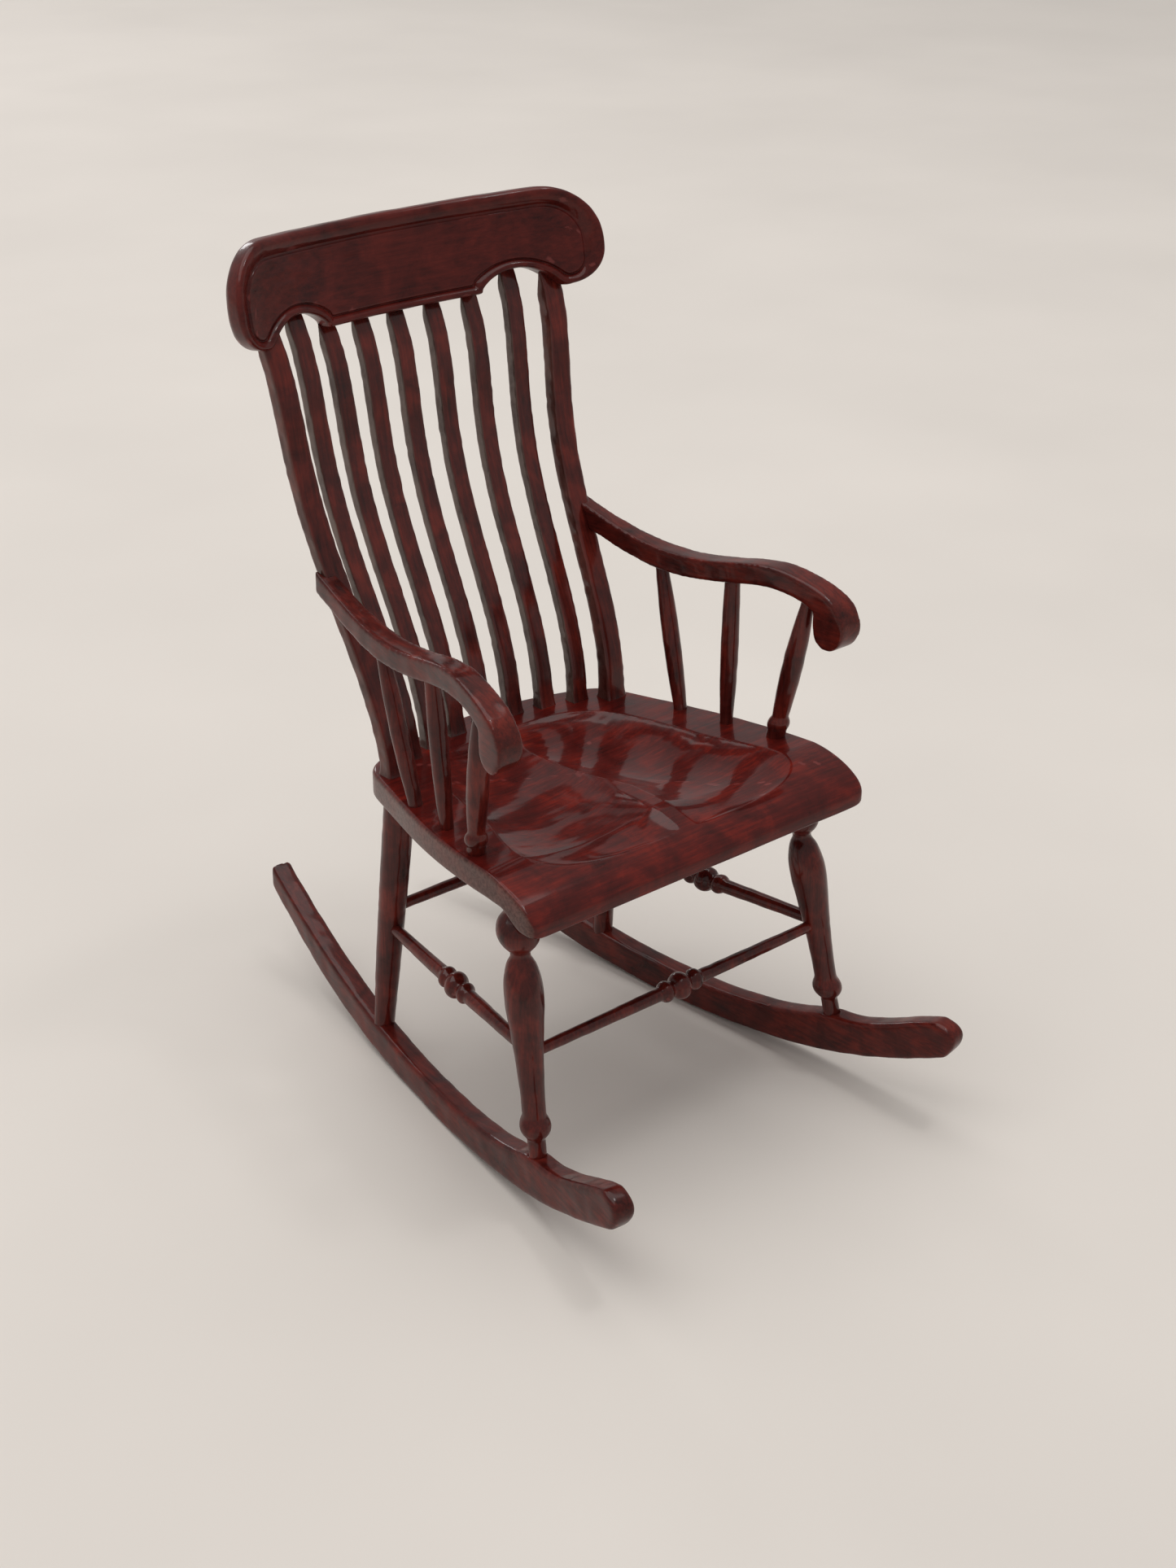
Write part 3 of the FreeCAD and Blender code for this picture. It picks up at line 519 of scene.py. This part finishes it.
# --- seat ---------------------------------------------------------------------------------
def hull(points):
    """Convex outline of points in a plane, anticlockwise."""
    order = sorted(map(tuple, np.round(points, 4)))
    sides = []
    for run in (order, order[::-1]):
        side = []
        for point in run:
            while len(side) > 1 and ((side[-1][0] - side[-2][0]) * (point[1] - side[-2][1])
                                     - (side[-1][1] - side[-2][1]) * (point[0] - side[-2][0])) <= 0:
                side.pop()
            side.append(point)
        sides += side[:-1]
    return np.array(sides)


def even_loop(loop, count):
    """The closed loop resampled at even steps and slightly rounded at its corners."""
    closed = np.concatenate([loop, loop[:1]])
    steps = np.concatenate([[0], np.cumsum(np.linalg.norm(np.diff(closed, axis=0), axis=1))])
    wanted = np.linspace(0, steps[-1], count, endpoint=False)
    even = np.stack([np.interp(wanted, steps, closed[:, index]) for index in (0, 1)], axis=1)
    for _ in range(10):
        even = 0.5 * even + 0.25 * (np.roll(even, 1, axis=0) + np.roll(even, -1, axis=0))
    return even


def hollow_depth(x, y, front):
    """How deep the two thigh hollows are carved at each point."""
    share = (y - (front + HOLLOW_FROM_FRONT)) / HOLLOW_LONG
    closing = (1 - np.clip(np.abs(share), 0, 1) ** 4) ** 0.25
    flare = HOLLOW_FRONT_FLARE * np.clip(-share, 0, 1) ** 1.5
    outer = closing * (HOLLOW_OUTER - HOLLOW_TAPER * share + flare)
    inner = HOLLOW_RIDGE - HOLLOW_MERGE * np.clip(share - HOLLOW_MERGE_FROM, 0, 1)
    half = np.maximum((outer - inner) / 2, 0.01)
    middle = (outer + inner) / 2
    deepest = np.zeros_like(x)
    for side in (-1, 1):
        across = (side * x - middle) / half
        bowl = np.clip(1 - np.abs(across) ** 2.3, 0, 1) ** 0.95
        bowl *= np.clip(1 - np.abs(share) ** 3, 0, 1) ** 0.65
        deepest = np.maximum(deepest, HOLLOW_DEEP * bowl)
    return deepest


def seat_top(x, y, low, high):
    """Height of the seat's top: down to the back, rolled over at the front, hollowed between."""
    front = low[1]
    crest = front + SEAT_ROLL_LONG
    back = high[1]
    slope = np.clip((y - crest) / (back - crest), 0, 1)
    ahead = np.clip((crest - y) / SEAT_ROLL_LONG, 0, 1)
    roll = SEAT_ROLL_DROP * (1 - (1 - ahead ** SEAT_ROLL_POWER) ** (1 / SEAT_ROLL_POWER))
    return high[2] - SEAT_RISE * slope - roll - hollow_depth(x, y, front)


def seat_under(y, low, high):
    """Height of the seat's underside: a flat plank with a lip that hangs under the front."""
    slope = np.clip((y - low[1] - SEAT_ROLL_LONG) / (high[1] - low[1] - SEAT_ROLL_LONG), 0, 1)
    lip = np.clip((low[1] + SEAT_LIP_LONG - y) / SEAT_LIP_RUN, 0, 1)
    drop = (SEAT_ROLL_DROP - SEAT_THICK + SEAT_LIP_DROP) * lip * lip * (3 - 2 * lip)
    return high[2] - SEAT_RISE * slope - SEAT_THICK - drop


def build_seat():
    """Rings from the middle of the top out to the edge, down the side and back in below."""
    low, high = box_mm("seat")
    points, _ = node_mesh("seat")
    around = 480
    outline = even_loop(hull(points[:, :2]), around)
    centre = np.array([0.0, (low[1] + high[1]) / 2])
    spokes = outline - centre
    long = np.linalg.norm(spokes, axis=1)

    def drawn_in(reach):
        return centre + spokes * (1 - reach / long)[:, None]

    def on_top(plan, drop=0.0):
        return np.column_stack([plan, seat_top(plan[:, 0], plan[:, 1], low, high) - drop])

    edge = np.full(around, SEAT_EDGE)
    rings = [on_top(centre + (drawn_in(edge) - centre) * share)
             for share in np.linspace(0, 1, 110) ** 0.8]
    for angle in np.linspace(0, math.pi / 2, 8)[1:]:
        plan = drawn_in(edge * (1 - math.sin(angle)))
        rings.append(on_top(plan, SEAT_EDGE * (1 - math.cos(angle))))
    wall_top = rings[-1][:, 2]
    under_edge = seat_under(outline[:, 1], low, high)
    foot = np.minimum(SEAT_EDGE, SEAT_FOOT_SHARE * (wall_top - under_edge))
    for share in np.linspace(0, 1, 6)[1:]:
        rings.append(np.column_stack([outline, wall_top + (under_edge + foot - wall_top) * share]))
    for angle in np.linspace(0, math.pi / 2, 6)[1:]:
        plan = drawn_in(foot * (1 - math.cos(angle)))
        rings.append(np.column_stack([plan, under_edge + foot * (1 - math.sin(angle))]))
    ledge = drawn_in(foot)
    for share in (0.95, 0.9, 0.85, 0.8, 0.6, 0.3, 0.0):
        plan = centre + (ledge - centre) * share
        rings.append(np.column_stack([plan, seat_under(plan[:, 1], low, high)]))
    flat = np.array(rings).reshape(-1, 3)
    flat[:, Z] += SEAT_WAVE * lattice_noise(flat * (0.22, 0.3, 0.2), 3)
    flat[:, Z] += SEAT_GRAIN * lattice_noise(flat * (0.4, 1.4, 0.5), 5)
    faces = skin_faces(len(rings), around, False, False)
    new_piece("seat_wood", flat, faces, woods["seat"], "seat")


# --- crest rail ---------------------------------------------------------------------------
def bow(a, middle, b, count):
    """Points on the circle through three points, from a up to but not including b."""
    a, middle, b = (np.array(p, float) for p in (a, middle, b))
    ab = middle - a
    ac = b - a
    area = 2 * (ab[0] * ac[1] - ab[1] * ac[0])
    if abs(area) < 1e-9:
        return a + (b - a) * np.linspace(0, 1, count, endpoint=False)[:, None]
    ab2 = (ab ** 2).sum()
    ac2 = (ac ** 2).sum()
    centre = a + np.array([ac[1] * ab2 - ab[1] * ac2, ab[0] * ac2 - ac[0] * ab2]) / area
    angles = [math.atan2(*(p - centre)[::-1]) for p in (a, middle, b)]
    turn = (angles[2] - angles[0]) % (2 * math.pi)
    if (angles[1] - angles[0]) % (2 * math.pi) > turn:
        turn -= 2 * math.pi
    around = angles[0] + turn * np.linspace(0, 1, count, endpoint=False)
    return centre + np.linalg.norm(a - centre) * np.stack([np.cos(around), np.sin(around)], axis=1)


def flipped(point):
    """The point's mirror image on the other half of the crest."""
    return -point[0], point[1]


def crest_ring(inset, half):
    """The crest's front outline, drawn in by the inset, anticlockwise from the left arch.

    Each part is an arc: its start, a point on the way, its end and its number of points.
    """
    half = half - inset
    top = CREST_TALL - inset
    low = inset * CREST_LOW_SHARE
    lobe = low - CREST_LOBE_DROP
    arch_in = ARCH_IN - ARCH_WIDEN * inset
    arch_out = ARCH_OUT + ARCH_WIDEN * inset
    arch = 0.5 * (ARCH_IN + ARCH_OUT) - ARCH_SHIFT
    rise = ARCH_RISE + low
    round_top = CREST_TOP_R - inset
    round_lobe = CREST_LOBE_R - inset
    keep = 1 - math.sqrt(0.5)
    right = [
        ((arch_in, low), (arch_in, low + ARCH_CUSP / 2), (arch_in, low + ARCH_CUSP), 4),
        ((arch_in, low + ARCH_CUSP), (arch, rise), (arch_out, lobe + 0.35), 40),
        ((arch_out, lobe + 0.35), (arch_out + 0.3, lobe + 0.1), (half - round_lobe, lobe), 10),
        ((half - round_lobe, lobe), (half - round_lobe * keep, lobe + round_lobe * keep),
         (half, lobe + round_lobe), 26),
        ((half, lobe + round_lobe), (half, 0.5 * (lobe + round_lobe + top - round_top)),
         (half, top - round_top), 4),
        ((half, top - round_top), (half - round_top * keep, top - round_top * keep),
         (half - round_top, top), 34),
    ]
    left = [(flipped(end), flipped(way), flipped(start), count)
            for start, way, end, count in reversed(right)]
    bottom = ((-arch_in, low), (0, low), (arch_in, low), 60)
    lid = ((half - round_top, top), (0, top), (-half + round_top, top), 90)
    return np.concatenate([bow(*part) for part in [bottom, *right, lid, *left]])


def crest_point(plan, depth):
    """Front-view points and their depth behind the front face, bent and leaned back."""
    x = plan[:, 0]
    y = np.sqrt((CREST_ARC + depth) ** 2 - x ** 2) - CREST_ARC
    z = plan[:, 1]
    lean = math.radians(CREST_LEAN)
    return np.column_stack([x, y * math.cos(lean) + z * math.sin(lean),
                            z * math.cos(lean) - y * math.sin(lean)])


def build_crest():
    """Beaded border, thin groove and sunk panel in front; a plain rounded back."""
    low, high = box_mm("crest_rail")
    half = (high[0] - low[0]) / 2
    back = CREST_ROUND_BACK
    front = CREST_ROUND_FRONT
    fall = CREST_BEAD_FALL
    bead = CREST_BORDER - CREST_GROOVE_WIDE
    squeeze = np.linspace(1, 0, 12) ** 1.3
    middle = 0.5 * (CREST_TALL + 0.8)

    def squashed(ring, share):
        """The ring drawn in towards its long middle line, to close a face."""
        return np.column_stack([ring[:, 0] * (1 - 0.06 * share),
                                ring[:, 1] + (middle - ring[:, 1]) * share])

    rings = [crest_point(squashed(crest_ring(back, half), share), CREST_THICK) for share in squeeze]
    profile = []
    for turn in np.linspace(0, math.pi / 2, 9)[1:]:
        profile.append((back * (1 - math.sin(turn)), CREST_THICK - back * (1 - math.cos(turn))))
    for turn in np.linspace(math.pi / 2, 0, 7):
        profile.append((front * (1 - math.sin(turn)), front * (1 - math.cos(turn))))
    for swing in np.linspace(0, 1, 7)[1:]:
        profile.append((front + (bead - front) * swing, fall * swing ** 2.2))
    for past in np.linspace(0, 1, 7)[1:]:
        dip = (CREST_GROOVE - CREST_PANEL) * math.sin(math.pi * past)
        profile.append((bead + CREST_GROOVE_WIDE * past, fall + (CREST_PANEL - fall) * past + dip))
    rings += [crest_point(crest_ring(inset, half), depth) for inset, depth in profile]
    panel = crest_ring(CREST_BORDER, half)
    rings += [crest_point(squashed(panel, share), CREST_PANEL) for share in squeeze[::-1][1:]]
    points = np.array(rings)
    for _ in range(3):
        points = 0.5 * points + 0.25 * (np.roll(points, 1, axis=1) + np.roll(points, -1, axis=1))
    count = points.shape[1]
    flat = points.reshape(-1, 3)
    flat = low + (flat - flat.min(0)) * (high - low) / (flat.max(0) - flat.min(0))
    points = flat.reshape(-1, count, 3)
    normals = ring_normals(points)
    wobble = lattice_noise(flat * 0.4, 11).reshape(points.shape[:2])
    fine = lattice_noise(flat * (0.5, 1.5, 1.5), 12).reshape(points.shape[:2])
    points += normals * (CREST_WAVE * wobble + CREST_GRAIN * fine)[:, :, None]
    faces = skin_faces(len(rings), count, False, False)
    new_piece("crest_rail_wood", points.reshape(-1, 3), faces, woods["crest"], "crest_rail")


# --- stage --------------------------------------------------------------------------------
def build_floor():
    """A sheet of pale paper, mottled a little."""
    half = FLOOR_HALF
    corners = [(-half, -half, 0), (half, -half, 0), (half, half, 0), (-half, half, 0)]
    mesh = bpy.data.meshes.new("floor")
    mesh.from_pydata(corners, [], [(0, 1, 2, 3)])
    floor = bpy.data.objects.new("floor", mesh)
    bpy.context.scene.collection.objects.link(floor)
    n = Nodes("floor_paper")
    place = n.add("ShaderNodeTexCoord").outputs["Object"]
    mottle = n.noise(place, 14.0, 3.0)
    pale = tuple((1 + FLOOR_MOTTLE) * c for c in FLOOR_COLOUR)
    dim = tuple((1 - FLOOR_MOTTLE) * c for c in FLOOR_COLOUR)
    n.join(n.ramp(mottle, ((0.3, dim), (0.7, pale))), n.shader.inputs["Base Color"])
    n.shader.inputs["Roughness"].default_value = 0.85
    mesh.materials.append(n.material)


def area_light(name, place, size, power, colour):
    """A square lamp that faces the chair."""
    data = bpy.data.lights.new(name, "AREA")
    data.size = size
    data.energy = power
    data.color = colour
    light = bpy.data.objects.new(name, data)
    light.location = place
    light.rotation_euler = (Vector(LIGHT_AIM) - Vector(place)).to_track_quat("-Z", "Y").to_euler()
    bpy.context.scene.collection.objects.link(light)


def build_lights():
    """A dim even room, one large soft box overhead and two small lamps for highlights."""
    world = bpy.data.worlds.new("studio")
    world.use_nodes = True
    back = world.node_tree.nodes["Background"]
    back.inputs["Color"].default_value = (*STUDIO_COLOUR, 1.0)
    back.inputs["Strength"].default_value = WORLD_STRENGTH
    bpy.context.scene.world = world
    for light in LIGHTS:
        area_light(*light)
    bpy.context.scene.view_settings.view_transform = "Standard"


def build_camera():
    """A camera at the photograph's angle, with its roll."""
    data = bpy.data.cameras.new("camera")
    data.sensor_fit = "VERTICAL"
    data.sensor_height = SENSOR
    data.lens = FOCAL_SHARE * SENSOR
    data.clip_start = 0.005
    data.clip_end = 20.0
    camera = bpy.data.objects.new("camera", data)
    azimuth = math.radians(CAMERA_AZIMUTH)
    elevation = math.radians(CAMERA_ELEVATION)
    ahead = Vector((-math.sin(azimuth) * math.cos(elevation),
                    math.cos(azimuth) * math.cos(elevation),
                    -math.sin(elevation)))
    place = Vector(CAMERA_AIM) * MM - ahead * CAMERA_AWAY * MM
    turn = ahead.to_track_quat("-Z", "Y").to_matrix().to_4x4()
    roll = Matrix.Rotation(math.radians(CAMERA_ROLL), 4, "Z")
    camera.matrix_world = Matrix.Translation(place) @ turn @ roll
    bpy.context.scene.collection.objects.link(camera)
    bpy.context.scene.camera = camera


# --- all pieces ---------------------------------------------------------------------------
for index in range(1, 8):
    build_upright(f"back_slat_{index}", "slat")
for side in ("left", "right"):
    build_upright(f"back_post_{side}", "post")
    build_turned(f"front_leg_{side}", Z, LEG_PEG)
    build_turned(f"rear_leg_{side}", Z, LEG_PEG)
    build_turned(f"side_stretcher_{side}", Y, SIDE_PEG)
    for place in ("rear", "middle", "front"):
        build_turned(f"arm_spindle_{place}_{side}", Z, SPINDLE_PEG)
    build_carved(f"arm_{side}", "arm", *ARM_CARVING)
    build_carved(f"rocker_{side}", "rocker", *ROCKER_CARVING)
build_turned("front_stretcher", X, CROSS_PEG)
build_turned("rear_stretcher", X, CROSS_PEG)
build_seat()
build_crest()
build_floor()
build_lights()
build_camera()
